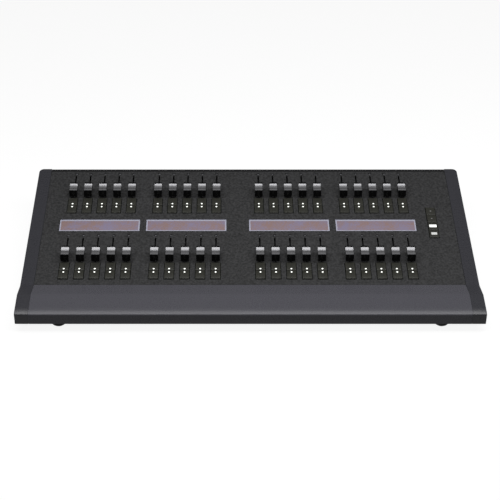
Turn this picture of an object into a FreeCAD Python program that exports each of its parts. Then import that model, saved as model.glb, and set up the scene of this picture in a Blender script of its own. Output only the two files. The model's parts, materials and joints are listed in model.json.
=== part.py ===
import FreeCAD, Part

import math
import os
import re

import Sketcher

# A wide wedge-shaped fader desk for stage lighting, 2 rows of 20 faders in 4 banks.
# X runs across the desk, Y to its rear, Z up. The origin is at the middle of the
# footprint, on the surface that the feet stand on. All sizes are in millimetres.
#
# The playing surface is a plane tilted about X. Its own directions are called
#   along  = up the slope, from the faceplate's front edge (the seam)
#   out    = square to the slope, away from the desk

DOC = FreeCAD.newDocument("FaderDesk")

SIZES = (
    # case
    ("overall_width", 710.0),
    ("panel_tilt", 8.0),          # degrees
    ("foot_height", 14.0),
    ("front_edge_height", 19.2),  # underside to the palm rest's top, carried on to its front
    ("seam_setback", 75.8),       # front to the faceplate, along the slope
    ("rest_rise", 12.2),          # palm rest top over the faceplate
    ("ramp_start", 0.8),          # where the palm rest starts to rise, from the seam
    ("ramp_end", 33.0),
    ("crest_rounding", 5.6),
    ("nose_length", 13.0),        # the palm rest's top curves down over this length
    ("nose_drop", 2.2),
    ("nose_rounding", 2.4),       # at its front edge
    ("rest_wall", 2.5),
    ("rest_tongue", 9.0),         # shelf of the palm rest under the faceplate
    ("cheek_width", 21.0),
    ("cheek_wall", 3.0),
    ("cheek_proud", 0.8),         # cheek top over the faceplate
    ("cheek_edge", 2.0),
    ("cheek_corner", 8.0),        # rear corner seen from above
    ("pan_wall", 1.5),
    ("pan_upstand", 14.0),        # pan's wall behind the rear panel's lower edge
    ("rear_wall", 2.0),
    ("rear_inset", 1.6),          # rear panel in front of the cheeks' rear ends
    ("rim_length", 6.0),          # rear panel's top flange, along the slope
    ("panel_thick", 2.0),
    ("fit_gap", 0.3),             # between pieces that meet edge to edge
    # layout of the playing surface
    ("column_pitch", 24.25),
    ("bank_pitch", 140.6),        # first to second bank, third to fourth
    ("half_pitch", 307.6),        # left pair of banks to right pair
    ("first_column", -290.7),     # X of the leftmost fader
    ("slot_gap", 10.6),           # from a key pair to its slot
    ("slot_width", 2.6),
    ("slot_end_gap", 0.5),        # lever to the slot's end, at both limits
    ("fader_travel", 45.0),
    ("fixing_overhang", 5.2),     # fader screw beyond each end of its slot
    ("rear_margin", 3.1),         # rear row's housings to the faceplate's rear edge
    # keys
    ("keys_front", 12.8),         # front end of the front row's keys
    ("key_length", 18.0),
    ("key_width", 15.0),
    ("key_seam", 0.6),            # between two keys of a pair
    ("key_proud", 2.0),
    ("key_edge", 0.8),            # rounding of the key's top
    ("key_gap", 0.8),             # key to the edge of its opening
    ("key_skirt", 2.5),           # key below the panel's face
    ("key_stem", 5.0),
    ("key_stem_drop", 3.0),
    ("key_travel", 1.5),
    ("page_keys_across", 298.2),
    ("page_keys_along", 146.2),
    # faders
    ("cap_width", 12.8),
    ("cap_foot", 24.0),           # cap length at its lower edge
    ("cap_crown", 21.4),          # cap length between its two ridges
    ("cap_lift", 3.5),            # lower edge over the panel
    ("cap_top", 15.6),            # ridges over the panel
    ("cap_dip", 3.4),             # saddle below the ridges
    ("cap_insert", 1.6),          # thickness of the grey saddle insert
    ("lever_thick", 1.2),
    ("lever_width", 4.0),
    ("lever_reach", 9.0),         # lever over the panel
    ("lever_fit", 0.05),
    ("carriage_width", 6.0),
    ("carriage_length", 9.0),
    ("carriage_height", 4.0),
    ("carriage_gap", 1.0),        # carriage to the housing's end walls, at both limits
    ("housing_width", 8.6),
    ("housing_end", 2.8),         # housing beyond its screws
    ("housing_height", 7.4),
    ("housing_wall", 1.0),
    # displays
    ("window_width", 130.0),
    ("window_length", 28.0),
    ("window_sink", 0.3),
    ("window_fit", 0.2),
    ("window_lip", 3.0),
    ("lip_thick", 1.2),
    ("display_gap", 30.8),        # front row's slots to the middle of the displays
    ("rear_row_gap", 17.2),       # displays' middle to where the rear row's layout starts
    ("display_thick", 5.0),
    # inside
    ("board_thick", 1.6),
    ("board_depth", 12.0),        # top of the key boards below the panel's face
    ("board_gap", 14.6),          # between two neighbouring banks' boards
    ("board_start", 8.0),
    ("board_end", 3.1),           # board to below the faceplate's rear edge
    ("page_board_width", 26.0),
    ("switch_size", 6.0),
    ("switch_height", 3.5),
    ("plunger_dia", 3.4),
    ("press_gap", 0.3),           # pressed key stem to its plunger
    # sockets on the rear panel
    ("socket_height", 18.0),      # their board over the pan floor
    ("socket_depth", 16.0),
    ("socket_fit", 0.2),
    ("socket_wall", 0.4),
    ("socket_back", 4.0),         # solid end behind the cavity
    ("socket_across", 160.0),     # X of the first one
    ("host_pitch", 24.0),         # first host socket to the second
    ("device_pitch", 28.0),       # then to the device socket
    ("power_pitch", 30.0),        # then to the power inlet
    ("host_width", 13.2),
    ("host_height", 5.8),
    ("host_tongue", 11.2),
    ("host_tongue_thick", 1.8),
    ("device_width", 12.2),
    ("device_height", 11.0),
    ("device_tongue", 5.5),
    ("device_tongue_thick", 3.2),
    ("tongue_base", 2.0),         # tongue's root from the socket's rear end
    ("tongue_length", 12.5),
    ("power_width", 9.4),
    ("power_height", 11.2),
    ("power_bore", 6.4),
    ("power_pin", 2.0),
    ("pin_sink", 1.0),            # pin's tip behind the socket's face
    # feet and screws
    ("foot_dia", 27.0),
    ("foot_taper", 1.5),
    ("foot_round", 5.0),
    ("foot_across", 291.0),
    ("foot_inset", 21.0),         # foot axis to the front and rear faces
    ("foot_bore", 4.4),
    ("foot_sink", 6.0),           # screw head seat over the floor
    ("foot_seat_gap", 0.5),       # screw head to the side of its seat
    ("screw_dia", 3.0),
    ("screw_head", 5.4),
    ("screw_fit", 0.1),
    ("screw_length", 7.0),
    ("rear_screw_height", 7.0),   # over the underside
    ("rear_screw_pitch", 120.0),
)

ALIASES = [alias for alias, _ in SIZES]
WORD = re.compile(r"\b(" + "|".join(ALIASES) + r")\b")


def from_sheet(text):
    """Turn a formula in size names into one that reads the sheet."""
    return WORD.sub(r"Sizes.\1", str(text))


def value(text):
    """The number that a formula in size names stands for."""
    return float(SHEET.evalExpression(from_sheet(text)))


def bind(obj, **formulas):
    """Bind properties; a double underscore stands for the dot in a property's path."""
    for name, text in formulas.items():
        obj.setExpression(name.replace("__", "."), from_sheet(text))


SHEET = DOC.addObject("Spreadsheet::Sheet", "Sizes")
for row, (alias, number) in enumerate(SIZES, start=1):
    SHEET.set("A%d" % row, alias)
    SHEET.set("B%d" % row, str(number))
    SHEET.setAlias("B%d" % row, alias)
DOC.recompute()

# positions within the case shorter than this count as the same
TOUCH = 0.01

# layout up the slope, as formulas in the sheet's names
KEY_PITCH = "(key_length + key_seam)"
KEYS_ALONG = "(keys_front + (key_length + " + KEY_PITCH + ") / 2)"
SLOT_LENGTH = "(fader_travel + lever_width + 2 * slot_end_gap)"
SLOT_START = "(keys_front + key_length + " + KEY_PITCH + " + slot_gap)"
SLOT_END = "(" + SLOT_START + " + " + SLOT_LENGTH + ")"
SLOT_MIDDLE = "(" + SLOT_START + " + " + SLOT_LENGTH + " / 2)"
LEVER_REST = "(" + SLOT_START + " + lever_width / 2 + slot_end_gap)"
DISPLAY_ALONG = "(" + SLOT_END + " + display_gap)"
ROW_PITCH = "(" + DISPLAY_ALONG + " + rear_row_gap)"
PLATE_LENGTH = (
    "(" + ROW_PITCH + " + " + SLOT_END + " + fixing_overhang + housing_end + rear_margin)"
)
SLOPE_END = "(" + PLATE_LENGTH + " + fit_gap + rim_length)"

# the case that this layout needs
DEPTH = (
    "(seam_setback * cos(panel_tilt) + rest_rise * sin(panel_tilt)"
    " + " + SLOPE_END + " * cos(panel_tilt) + rear_inset)"
)
FRONT = "(-" + DEPTH + " / 2)"
REAR = "(" + DEPTH + " / 2)"
REAR_FACE = "(" + REAR + " - rear_inset)"
SEAM_Y = "(" + FRONT + " + seam_setback * cos(panel_tilt) + rest_rise * sin(panel_tilt))"
SEAM_Z = (
    "(foot_height + front_edge_height"
    " + seam_setback * sin(panel_tilt) - rest_rise * cos(panel_tilt))"
)
INNER_WIDTH = "(overall_width - 2 * cheek_width - 2 * fit_gap)"
BOARD_TOP = "(-board_depth)"
STEM_END = "(-key_skirt - key_stem_drop)"
PLUNGER_TOP = "(" + STEM_END + " - key_travel - press_gap)"

COLUMNS = range(5)
BANKS = range(4)
ROWS = range(2)


def on_slope(along, out):
    """Y and Z of a point given along and out of the slope."""
    y = "(%s + (%s) * cos(panel_tilt) - (%s) * sin(panel_tilt))" % (SEAM_Y, along, out)
    z = "(%s + (%s) * sin(panel_tilt) + (%s) * cos(panel_tilt))" % (SEAM_Z, along, out)
    return y, z


def height_at(y, out):
    """Z on the plane that lies this far out of the slope, at a given Y."""
    lift = "(%s) / cos(panel_tilt)" % out
    return "(%s + %s + (%s - %s) * tan(panel_tilt))" % (SEAM_Z, lift, y, SEAM_Y)


# the palm rest's top ends in an arc that starts flush and meets the front face
NOSE_START = on_slope("(-seam_setback + nose_length)", "rest_rise")
NOSE_END = (FRONT, height_at(FRONT, "(rest_rise - nose_drop)"))
NOSE_REACH = "(nose_length + nose_drop * tan(panel_tilt))"
NOSE_BOW = (
    "((" + NOSE_REACH + " * " + NOSE_REACH + " + nose_drop * nose_drop) / (2 * nose_drop))",
    on_slope("(-seam_setback + nose_length / 2)", "(rest_rise - nose_drop / 4)"),
)


def bank_x(bank):
    """X of a bank's first column."""
    return "(first_column + %d * bank_pitch + %d * half_pitch)" % (bank % 2, bank // 2)


def column_x(bank, column):
    return "(%s + %d * column_pitch)" % (bank_x(bank), column)


def bank_middle(bank):
    return "(%s + 2 * column_pitch)" % bank_x(bank)


def key_along(place, row):
    """Middle of a pair's upper (place +1) or lower (-1) key, up the slope."""
    return "(%s + %d * %s / 2 + %d * %s)" % (KEYS_ALONG, place, KEY_PITCH, row, ROW_PITCH)


def origin_plane(body, role):
    return [part for part in body.Origin.OriginFeatures if part.Role == role][0]


def new_body(label):
    body = DOC.addObject("PartDesign::Body", label)
    body.Label = label
    return body


def new_sketch(body, role, lift="0"):
    """An empty sketch on one of the body's origin planes, raised along its normal."""
    sketch = body.newObject("Sketcher::SketchObject", body.Label + "_sketch")
    sketch.AttachmentSupport = [(origin_plane(body, role), "")]
    sketch.MapMode = "FlatFace"
    bind(sketch, AttachmentOffset__Base__z=lift)
    return sketch


def turning_left(start, middle, end):
    """An arc through three points as a sketch keeps it, and which of its ends is start."""
    centre = Part.Arc(start, middle, end).toShape().Curve.Center
    first, halfway, last = [
        math.atan2(spot.y - centre.y, spot.x - centre.x) for spot in (start, middle, end)]
    circle = Part.Circle(centre, FreeCAD.Vector(0, 0, 1), (start - centre).Length)
    turn = 2 * math.pi
    if (halfway - first) % turn < (last - first) % turn:
        return Part.ArcOfCircle(circle, first, first + (last - first) % turn), 1
    return Part.ArcOfCircle(circle, last, last + (first - last) % turn), 2


def add_outline(sketch, corners, bows=None):
    """Close a polygon through corners given as pairs of formulas.

    bows maps a side's number to the radius and a point of the arc that replaces it.
    """
    bows = bows or {}
    spots = [FreeCAD.Vector(value(across), value(up), 0) for across, up in corners]
    first = sketch.GeometryCount
    count = len(corners)
    heads = []
    for side in range(count):
        start = spots[side]
        end = spots[(side + 1) % count]
        if side in bows:
            middle = FreeCAD.Vector(value(bows[side][1][0]), value(bows[side][1][1]), 0)
            curve, head = turning_left(start, middle, end)
        else:
            curve, head = Part.LineSegment(start, end), 1
        sketch.addGeometry(curve, False)
        heads.append(head)
    for side in range(count):
        follower = (side + 1) % count
        sketch.addConstraint(Sketcher.Constraint(
            "Coincident", first + side, 3 - heads[side], first + follower, heads[follower]))
    for side, corner in enumerate(corners):
        for kind, text in zip(("DistanceX", "DistanceY"), corner):
            index = sketch.addConstraint(Sketcher.Constraint(
                kind, -1, 1, first + side, heads[side], value(text)))
            sketch.setExpression("Constraints[%d]" % index, from_sheet(text))
    for side, (radius, _) in bows.items():
        index = sketch.addConstraint(Sketcher.Constraint("Radius", first + side, value(radius)))
        sketch.setExpression("Constraints[%d]" % index, from_sheet(radius))


def add_circle(sketch, across, up, radius):
    spot = FreeCAD.Vector(value(across), value(up), 0)
    circle = sketch.addGeometry(Part.Circle(spot, FreeCAD.Vector(0, 0, 1), value(radius)), False)
    for kind, text in (("DistanceX", across), ("DistanceY", up)):
        index = sketch.addConstraint(Sketcher.Constraint(kind, -1, 1, circle, 3, value(text)))
        sketch.setExpression("Constraints[%d]" % index, from_sheet(text))
    index = sketch.addConstraint(Sketcher.Constraint("Radius", circle, value(radius)))
    sketch.setExpression("Constraints[%d]" % index, from_sheet(radius))


def rectangle(left, front, right, rear):
    return [(left, front), (right, front), (right, rear), (left, rear)]


def centred(across, along, width, length):
    """A rectangle about a middle, as corner formulas."""
    left = "(%s - (%s) / 2)" % (across, width)
    right = "(%s + (%s) / 2)" % (across, width)
    front = "(%s - (%s) / 2)" % (along, length)
    rear = "(%s + (%s) / 2)" % (along, length)
    return rectangle(left, front, right, rear)


def sweep(body, kind, sketch, length, midplane=False, reverse=False):
    """Pad or pocket a sketch by a length."""
    feature = body.newObject("PartDesign::" + kind, body.Label + "_" + kind.lower())
    feature.Profile = sketch
    feature.Midplane = midplane
    feature.Reversed = reverse
    bind(feature, Length=length)
    DOC.recompute()
    return feature


def cut_checked(body, sketch, length, midplane=False, reverse=False):
    """A pocket that has to take material away."""
    before = body.Shape.Volume
    feature = sweep(body, "Pocket", sketch, length, midplane, reverse)
    if not body.Shape.Volume < before - 1e-6:
        raise RuntimeError("a pocket of %s cuts nothing" % body.Label)
    return feature


def round_edges(body, radius, picks):
    """Fillet the edges of the body's tip that a test picks out."""
    tip = body.Tip
    names = ["Edge%d" % (number + 1)
             for number, edge in enumerate(tip.Shape.Edges) if picks(edge)]
    if not names:
        raise RuntimeError("no edge to round on %s" % body.Label)
    fillet = body.newObject("PartDesign::Fillet", body.Label + "_fillet")
    fillet.Base = (tip, names)
    bind(fillet, Radius=radius)
    DOC.recompute()
    return fillet


def lies_at(edge, first, second, axes=(1, 2)):
    """True where every end of an edge has these two coordinates."""
    spots = [vertex.Point for vertex in edge.Vertexes]
    return all(abs(spot[axes[0]] - first) < TOUCH and abs(spot[axes[1]] - second) < TOUCH
               for spot in spots)


def box(name, left, front, low, width, length, height):
    solid = DOC.addObject("Part::Box", name)
    bind(solid, Length=width, Width=length, Height=height,
         Placement__Base__x=left, Placement__Base__y=front, Placement__Base__z=low)
    return solid


def centred_box(name, across, along, low, width, length, height):
    left = "(%s - (%s) / 2)" % (across, width)
    front = "(%s - (%s) / 2)" % (along, length)
    return box(name, left, front, low, width, length, height)


def cylinder(name, across, along, low, diameter, height):
    solid = DOC.addObject("Part::Cylinder", name)
    bind(solid, Radius="(%s) / 2" % diameter, Height=height,
         Placement__Base__x=across, Placement__Base__y=along, Placement__Base__z=low)
    return solid


def fuse(name, *solids):
    joined = DOC.addObject("Part::MultiFuse", name)
    joined.Shapes = list(solids)
    return joined


def cut(name, base, *tools):
    """Take several solids out of one."""
    tool = tools[0] if len(tools) == 1 else fuse(name + "_tools", *tools)
    result = DOC.addObject("Part::Cut", name)
    result.Base = base
    result.Tool = tool
    return result


def group(label, members):
    compound = DOC.addObject("Part::Compound", label)
    compound.Label = label
    compound.Links = list(members)
    return compound


def copy_at(unit, name, x="0", y="0", z="0"):
    """Another instance of a unit, moved."""
    instance = group(name, [unit])
    bind(instance, Placement__Base__x=x, Placement__Base__y=y, Placement__Base__z=z)
    return instance


def tilt(obj, across="0", along="0", out="0"):
    """Put an object built in the slope's own directions onto the slope."""
    y, z = on_slope(along, out)
    obj.Placement = FreeCAD.Placement(
        FreeCAD.Vector(0, 0, 0), FreeCAD.Rotation(FreeCAD.Vector(1, 0, 0), 1))
    bind(obj, Placement__Rotation__Angle="panel_tilt",
         Placement__Base__x=across, Placement__Base__y=y, Placement__Base__z=z)
    return obj


# ---------------------------------------------------------------- case

def base_pan():
    """Folded steel tray: floor, front lip, side walls and a low rear upstand."""
    body = new_body("base_pan")
    under_rest = "(-panel_thick - 2 * fit_gap - rest_wall)"
    front = "(%s + rest_wall + fit_gap)" % FRONT
    rear = "(%s - rear_wall)" % REAR_FACE
    outer = new_sketch(body, "YZ_Plane")
    add_outline(outer, [
        (front, "foot_height"), (rear, "foot_height"),
        (rear, height_at(rear, under_rest)), (front, height_at(front, under_rest))])
    sweep(body, "Pad", outer, INNER_WIDTH, midplane=True)
    inner = new_sketch(body, "YZ_Plane")
    floor = "(foot_height + pan_wall)"
    lip = "(foot_height + pan_upstand)"
    open_top = height_at(REAR, "0")
    add_outline(inner, [
        ("(%s + pan_wall)" % front, floor), ("(%s - pan_wall)" % rear, floor),
        ("(%s - pan_wall)" % rear, lip), (REAR, lip),
        (REAR, open_top), ("(%s + pan_wall)" % front, open_top)])
    cut_checked(body, inner, "(%s - 2 * pan_wall)" % INNER_WIDTH, midplane=True)
    holes = new_sketch(body, "XY_Plane")
    for across, along in foot_places():
        add_circle(holes, across, along, "foot_bore / 2")
    cut_checked(body, holes, "(foot_height + 2 * pan_wall)", reverse=True)
    rear_holes = new_sketch(body, "XZ_Plane")
    add_rear_screw_holes(rear_holes)
    cut_checked(body, rear_holes, "(2 * %s)" % REAR, midplane=True)
    return body


def rear_screw_places():
    """X of each screw through the rear panel into the pan's upstand."""
    return ["(%s * rear_screw_pitch)" % step for step in (-2.5, -1.5, -0.5, 0.5, 1.5, 2.5)]


def add_rear_screw_holes(sketch):
    height = "(foot_height + rear_screw_height)"
    for across in rear_screw_places():
        add_circle(sketch, across, height, "(screw_dia / 2 + screw_fit)")


def palm_rest():
    """Extruded front bolster with a ramp, a flat top, a rounded edge and a front face."""
    body = new_body("palm_rest")
    outline = new_sketch(body, "YZ_Plane")
    inside = "(%s + rest_wall)" % FRONT
    shelf = "(-panel_thick - fit_gap)"
    add_outline(outline, [
        on_slope("-fit_gap", "0"),
        on_slope("-ramp_start", "0"),
        on_slope("-ramp_end", "rest_rise"),
        NOSE_START,
        NOSE_END,
        (FRONT, "foot_height"),
        (inside, "foot_height"),
        (inside, height_at(inside, "(rest_rise - nose_drop - rest_wall)")),
        on_slope("(-seam_setback + nose_length)", "(rest_rise - rest_wall)"),
        on_slope("(-ramp_end + rest_wall / 2)", "(rest_rise - rest_wall)"),
        on_slope("(-ramp_start + rest_wall / 2)", "(%s - rest_wall)" % shelf),
        on_slope("rest_tongue", "(%s - rest_wall)" % shelf),
        on_slope("rest_tongue", shelf),
        on_slope("-fit_gap", shelf)], {3: NOSE_BOW})
    sweep(body, "Pad", outline, INNER_WIDTH, midplane=True)
    nose = [value(text) for text in NOSE_END]
    round_edges(body, "nose_rounding", lambda edge: lies_at(edge, *nose))
    crest = [value(text) for text in on_slope("-ramp_end", "rest_rise")]
    round_edges(body, "crest_rounding", lambda edge: lies_at(edge, *crest))
    return body


def cheek(label, side):
    """Moulded end cheek, hollow from its inner side, with the desk's side outline."""
    body = new_body(label)
    outline = new_sketch(body, "YZ_Plane")
    add_outline(outline, [
        (FRONT, "foot_height"),
        (REAR, "foot_height"),
        (REAR, height_at(REAR, "cheek_proud")),
        on_slope("-ramp_start", "cheek_proud"),
        on_slope("-ramp_end", "rest_rise"),
        NOSE_START,
        NOSE_END], {5: NOSE_BOW})
    sweep(body, "Pad", outline, "cheek_width")
    outer_x = value("cheek_width") if side > 0 else 0.0
    round_edges(body, "cheek_corner", lambda edge: lies_at(edge, outer_x, value(REAR), (0, 1)))
    nose = [value(text) for text in NOSE_END]
    round_edges(body, "nose_rounding", lambda edge: lies_at(edge, *nose))
    crest = [value(text) for text in on_slope("-ramp_end", "rest_rise")]
    round_edges(body, "crest_rounding", lambda edge: lies_at(edge, *crest))
    level = value("foot_height") + TOUCH

    def on_outer_top(edge):
        spots = [vertex.Point for vertex in edge.Vertexes]
        above = min(spot.z for spot in spots) > level
        reach = edge.BoundBox
        outside = reach.XMin > outer_x - TOUCH if side > 0 else reach.XMax < TOUCH
        return above and outside and reach.YLength > TOUCH

    round_edges(body, "cheek_edge", on_outer_top)
    hollow = new_sketch(body, "YZ_Plane", "cheek_width" if side < 0 else "0")
    lower = "(foot_height + cheek_wall)"
    back = "(%s - cheek_wall)" % REAR
    skin = "(cheek_proud - cheek_wall)"
    nose_y = "(%s + cheek_wall)" % FRONT
    nose_skin = "(rest_rise - cheek_wall)"
    add_outline(hollow, [
        (nose_y, lower), (back, lower), (back, height_at(back, skin)),
        on_slope("-ramp_start", skin), on_slope("(-ramp_end - cheek_wall / 3)", nose_skin),
        on_slope("(-seam_setback + nose_length)", nose_skin),
        (nose_y, height_at(nose_y, "(rest_rise - nose_drop - cheek_wall)"))])
    cut_checked(body, hollow, "(cheek_width - cheek_wall)", reverse=side > 0)
    place = "(overall_width / 2 - cheek_width)" if side > 0 else "(-overall_width / 2)"
    bind(body, Placement__Base__x=place)
    return body


def rear_panel():
    """Folded rear panel with a short top flange that closes the faceplate's rear edge."""
    body = new_body("rear_panel")
    inside = "(%s - rear_wall)" % REAR_FACE
    outline = new_sketch(body, "YZ_Plane")
    add_outline(outline, [
        (inside, "foot_height"), (REAR_FACE, "foot_height"),
        (REAR_FACE, height_at(REAR_FACE, "0")),
        on_slope("(%s - rim_length)" % SLOPE_END, "0"),
        on_slope("(%s - rim_length)" % SLOPE_END, "(-rear_wall)"),
        (inside, height_at(inside, "(-rear_wall)"))])
    sweep(body, "Pad", outline, INNER_WIDTH, midplane=True)
    openings = new_sketch(body, "XZ_Plane")
    for kind, across in SOCKETS:
        width, height = SOCKET_FACES[kind]
        middle = "(%s + %s / 2)" % (SOCKET_FLOOR, height)
        add_outline(openings, centred(
            across, middle, "(%s + 2 * socket_fit)" % width,
            "(%s + 2 * socket_fit)" % height))
    add_rear_screw_holes(openings)
    cut_checked(body, openings, "(2 * %s)" % REAR, midplane=True)
    return body


# ---------------------------------------------------------------- faceplate and windows

def pattern(body, originals, steps):
    """Repeat features in steps of (axis, spacing, count) and make that the body's tip."""
    repeat = body.newObject("PartDesign::MultiTransform", body.Label + "_pattern")
    repeat.Originals = originals
    parts = []
    for axis, spacing, count in steps:
        step = DOC.addObject("PartDesign::LinearPattern", body.Label + "_step")
        step.Direction = (originals[0].Profile[0], [axis])
        step.Occurrences = count
        bind(step, Length="%d * (%s)" % (count - 1, spacing))
        parts.append(step)
    repeat.Transformations = parts
    body.Tip = repeat
    DOC.recompute()
    return repeat


def faceplate():
    """Flat metal plate with the fader slots, key openings, windows and screw holes."""
    body = new_body("faceplate")
    plate = new_sketch(body, "XY_Plane")
    add_outline(plate, rectangle(
        "(-%s / 2)" % INNER_WIDTH, "0", "(%s / 2)" % INNER_WIDTH, PLATE_LENGTH))
    sweep(body, "Pad", plate, "panel_thick", reverse=True)
    through = "(2 * panel_thick)"
    windows = new_sketch(body, "XY_Plane")
    for bank in BANKS:
        add_outline(windows, centred(
            bank_middle(bank), DISPLAY_ALONG, "(window_width + 2 * window_fit)",
            "(window_length + 2 * window_fit)"))
    cut_checked(body, windows, through)
    page = new_sketch(body, "XY_Plane")
    add_outline(page, centred(
        "page_keys_across", "page_keys_along", "(key_width + 2 * key_gap)",
        "(3 * %s + key_length + 2 * key_gap)" % KEY_PITCH))
    cut_checked(body, page, through)
    column = column_x(0, 0)
    slot = new_sketch(body, "XY_Plane")
    add_outline(slot, centred(column, SLOT_MIDDLE, "slot_width", SLOT_LENGTH))
    slot_cut = cut_checked(body, slot, through)
    keys = new_sketch(body, "XY_Plane")
    add_outline(keys, centred(
        column, KEYS_ALONG, "(key_width + 2 * key_gap)",
        "(%s + key_length + 2 * key_gap)" % KEY_PITCH))
    keys_cut = cut_checked(body, keys, through)
    fixings = new_sketch(body, "XY_Plane")
    for end in fixing_places():
        add_circle(fixings, column, end, "(screw_dia / 2 + screw_fit)")
    fixings_cut = cut_checked(body, fixings, through)
    before = body.Shape.Volume
    pattern(body, [slot_cut, keys_cut, fixings_cut], (
        ("H_Axis", "column_pitch", 5), ("H_Axis", "bank_pitch", 2),
        ("H_Axis", "half_pitch", 2), ("V_Axis", ROW_PITCH, 2)))
    if not body.Shape.Volume < before - TOUCH:
        raise RuntimeError("the faceplate's pattern cuts nothing")
    return tilt(body)


def fixing_places():
    """Where a fader's two screws stand along the slope, in the front row."""
    return "(%s - fixing_overhang)" % SLOT_START, "(%s + fixing_overhang)" % SLOT_END


def display_windows():
    """Four clear windows, each with a lip behind the faceplate."""
    windows = []
    for bank in BANKS:
        middle = bank_middle(bank)
        lens = centred_box(
            "window_lens_%d" % bank, middle, DISPLAY_ALONG, "(-panel_thick)",
            "window_width", "window_length", "(panel_thick - window_sink)")
        lip = centred_box(
            "window_lip_%d" % bank, middle, DISPLAY_ALONG, "(-panel_thick - lip_thick)",
            "(window_width + 2 * window_lip)", "(window_length + 2 * window_lip)", "lip_thick")
        windows.append(fuse("window_%d" % bank, lens, lip))
    return tilt(group("display_windows", windows))


def display_modules():
    """Four display modules, flat behind their windows."""
    modules = []
    for bank in BANKS:
        modules.append(centred_box(
            "module_%d" % bank, bank_middle(bank), DISPLAY_ALONG,
            "(-panel_thick - lip_thick - display_thick)", "(window_width + 2 * window_lip)",
            "(window_length + 2 * window_lip)", "display_thick"))
    return tilt(group("display_modules", modules))


# ---------------------------------------------------------------- faders

def fader_housing():
    """Slide potentiometer's case: a hollow bar with a slot for the lever."""
    top = "(-panel_thick)"
    case = centred_box(
        "housing_case", "0", SLOT_MIDDLE, "(%s - housing_height)" % top,
        "housing_width", "(%s + 2 * (fixing_overhang + housing_end))" % SLOT_LENGTH,
        "housing_height")
    cavity = centred_box(
        "housing_cavity", "0", SLOT_MIDDLE, "(%s - housing_height + housing_wall)" % top,
        "(housing_width - 2 * housing_wall)",
        "(fader_travel + carriage_length + 2 * carriage_gap)",
        "(housing_height - 2 * housing_wall)")
    slot = centred_box(
        "housing_slot", "0", SLOT_MIDDLE, "(%s - 1.5 * housing_wall)" % top,
        "slot_width", SLOT_LENGTH, "(2 * housing_wall)")
    bores = []
    for number, end in enumerate(fixing_places()):
        bores.append(cylinder(
            "housing_bore_%d" % number, "0", end, "(%s - 1.5 * housing_height)" % top,
            "(screw_dia + 2 * screw_fit)", "(2 * housing_height)"))
    return cut("fader_housing", case, cavity, slot, *bores)


def every_fader():
    """Bank, column and row of each fader, with its number, front row first."""
    number = 0
    for row in ROWS:
        for bank in BANKS:
            for column in COLUMNS:
                number += 1
                yield number, bank, column, row


def fader_bodies():
    unit = fader_housing()
    copies = []
    for number, bank, column, row in every_fader():
        copies.append(copy_at(
            unit, "housing_%02d" % number, column_x(bank, column), "(%d * %s)" % (row, ROW_PITCH)))
    return tilt(group("fader_bodies", copies))


def cap_half(level):
    """Half the cap's length at a height over the panel; its ends lean in."""
    lean = "(cap_foot - cap_crown) / 2 / (cap_top - cap_lift)"
    return "(cap_foot / 2 - (%s - cap_lift) * %s)" % (level, lean)


def saddle(level):
    """Radius and lowest point of the saddle hung between the cap's ends at a height."""
    half = cap_half(level)
    radius = "((%s * %s + cap_dip * cap_dip) / (2 * cap_dip))" % (half, half)
    return radius, ("0", "(%s - cap_dip)" % level)


def cap_skirt():
    """Black lower part of the cap, with a socket for the lever."""
    body = new_body("cap_skirt")
    level = "(cap_top - cap_insert)"
    half = cap_half(level)
    outline = new_sketch(body, "YZ_Plane")
    corners = [
        ("(-cap_foot / 2)", "cap_lift"), ("(cap_foot / 2)", "cap_lift"),
        (half, level), ("(-%s)" % half, level)]
    add_outline(outline, corners, {2: saddle(level)})
    sweep(body, "Pad", outline, "cap_width", midplane=True)
    socket = new_sketch(body, "XY_Plane", "cap_lift")
    add_outline(socket, centred(
        "0", "0", "(lever_thick + 2 * lever_fit)", "(lever_width + 2 * lever_fit)"))
    cut_checked(body, socket, "(lever_reach - cap_lift + 2 * lever_fit)", reverse=True)
    return body


def cap_insert():
    """Grey saddle-shaped insert on top of the cap."""
    body = new_body("cap_insert_piece")
    level = "(cap_top - cap_insert)"
    half = cap_half(level)
    outline = new_sketch(body, "YZ_Plane")
    top = cap_half("cap_top")
    corners = [
        ("(-%s)" % half, level), (half, level), (top, "cap_top"), ("(-%s)" % top, "cap_top")]
    add_outline(outline, corners, {0: saddle(level), 2: saddle("cap_top")})
    sweep(body, "Pad", outline, "cap_width", midplane=True)
    return body


def fader_lever():
    """Steel lever standing on the carriage that runs inside the housing."""
    floor = "(-panel_thick - housing_height + housing_wall)"
    low = "(%s + (housing_height - 2 * housing_wall - carriage_height) / 2)" % floor
    blade = centred_box(
        "lever_blade", "0", "0", low, "lever_thick", "lever_width", "(lever_reach - %s)" % low)
    carriage = centred_box(
        "lever_carriage", "0", "0", low, "carriage_width", "carriage_length", "carriage_height")
    return fuse("fader_lever", blade, carriage)


def faders():
    """Forty faders, each one its own sub-part: cap skirt, insert and lever."""
    unit = group("fader_unit", [cap_skirt(), cap_insert(), fader_lever()])
    nodes = []
    for number, bank, column, row in every_fader():
        node = group("fader_%02d" % number, [unit])
        nodes.append(tilt(node, column_x(bank, column),
                          "(%s + %d * %s)" % (LEVER_REST, row, ROW_PITCH)))
    return nodes


# ---------------------------------------------------------------- keys

def key_cap(label):
    """A key: crowned cap with a stem under it."""
    body = new_body(label)
    outline = new_sketch(body, "XY_Plane", "(-key_skirt)")
    add_outline(outline, centred("0", "0", "key_width", "key_length"))
    sweep(body, "Pad", outline, "(key_skirt + key_proud)")
    top = value("key_proud")
    round_edges(body, "key_edge", lambda edge: edge.BoundBox.ZMin > top - TOUCH)
    stem = new_sketch(body, "XY_Plane", STEM_END)
    add_outline(stem, centred("0", "0", "key_stem", "key_stem"))
    sweep(body, "Pad", stem, "(key_stem_drop + key_skirt / 2)")
    return body


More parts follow.
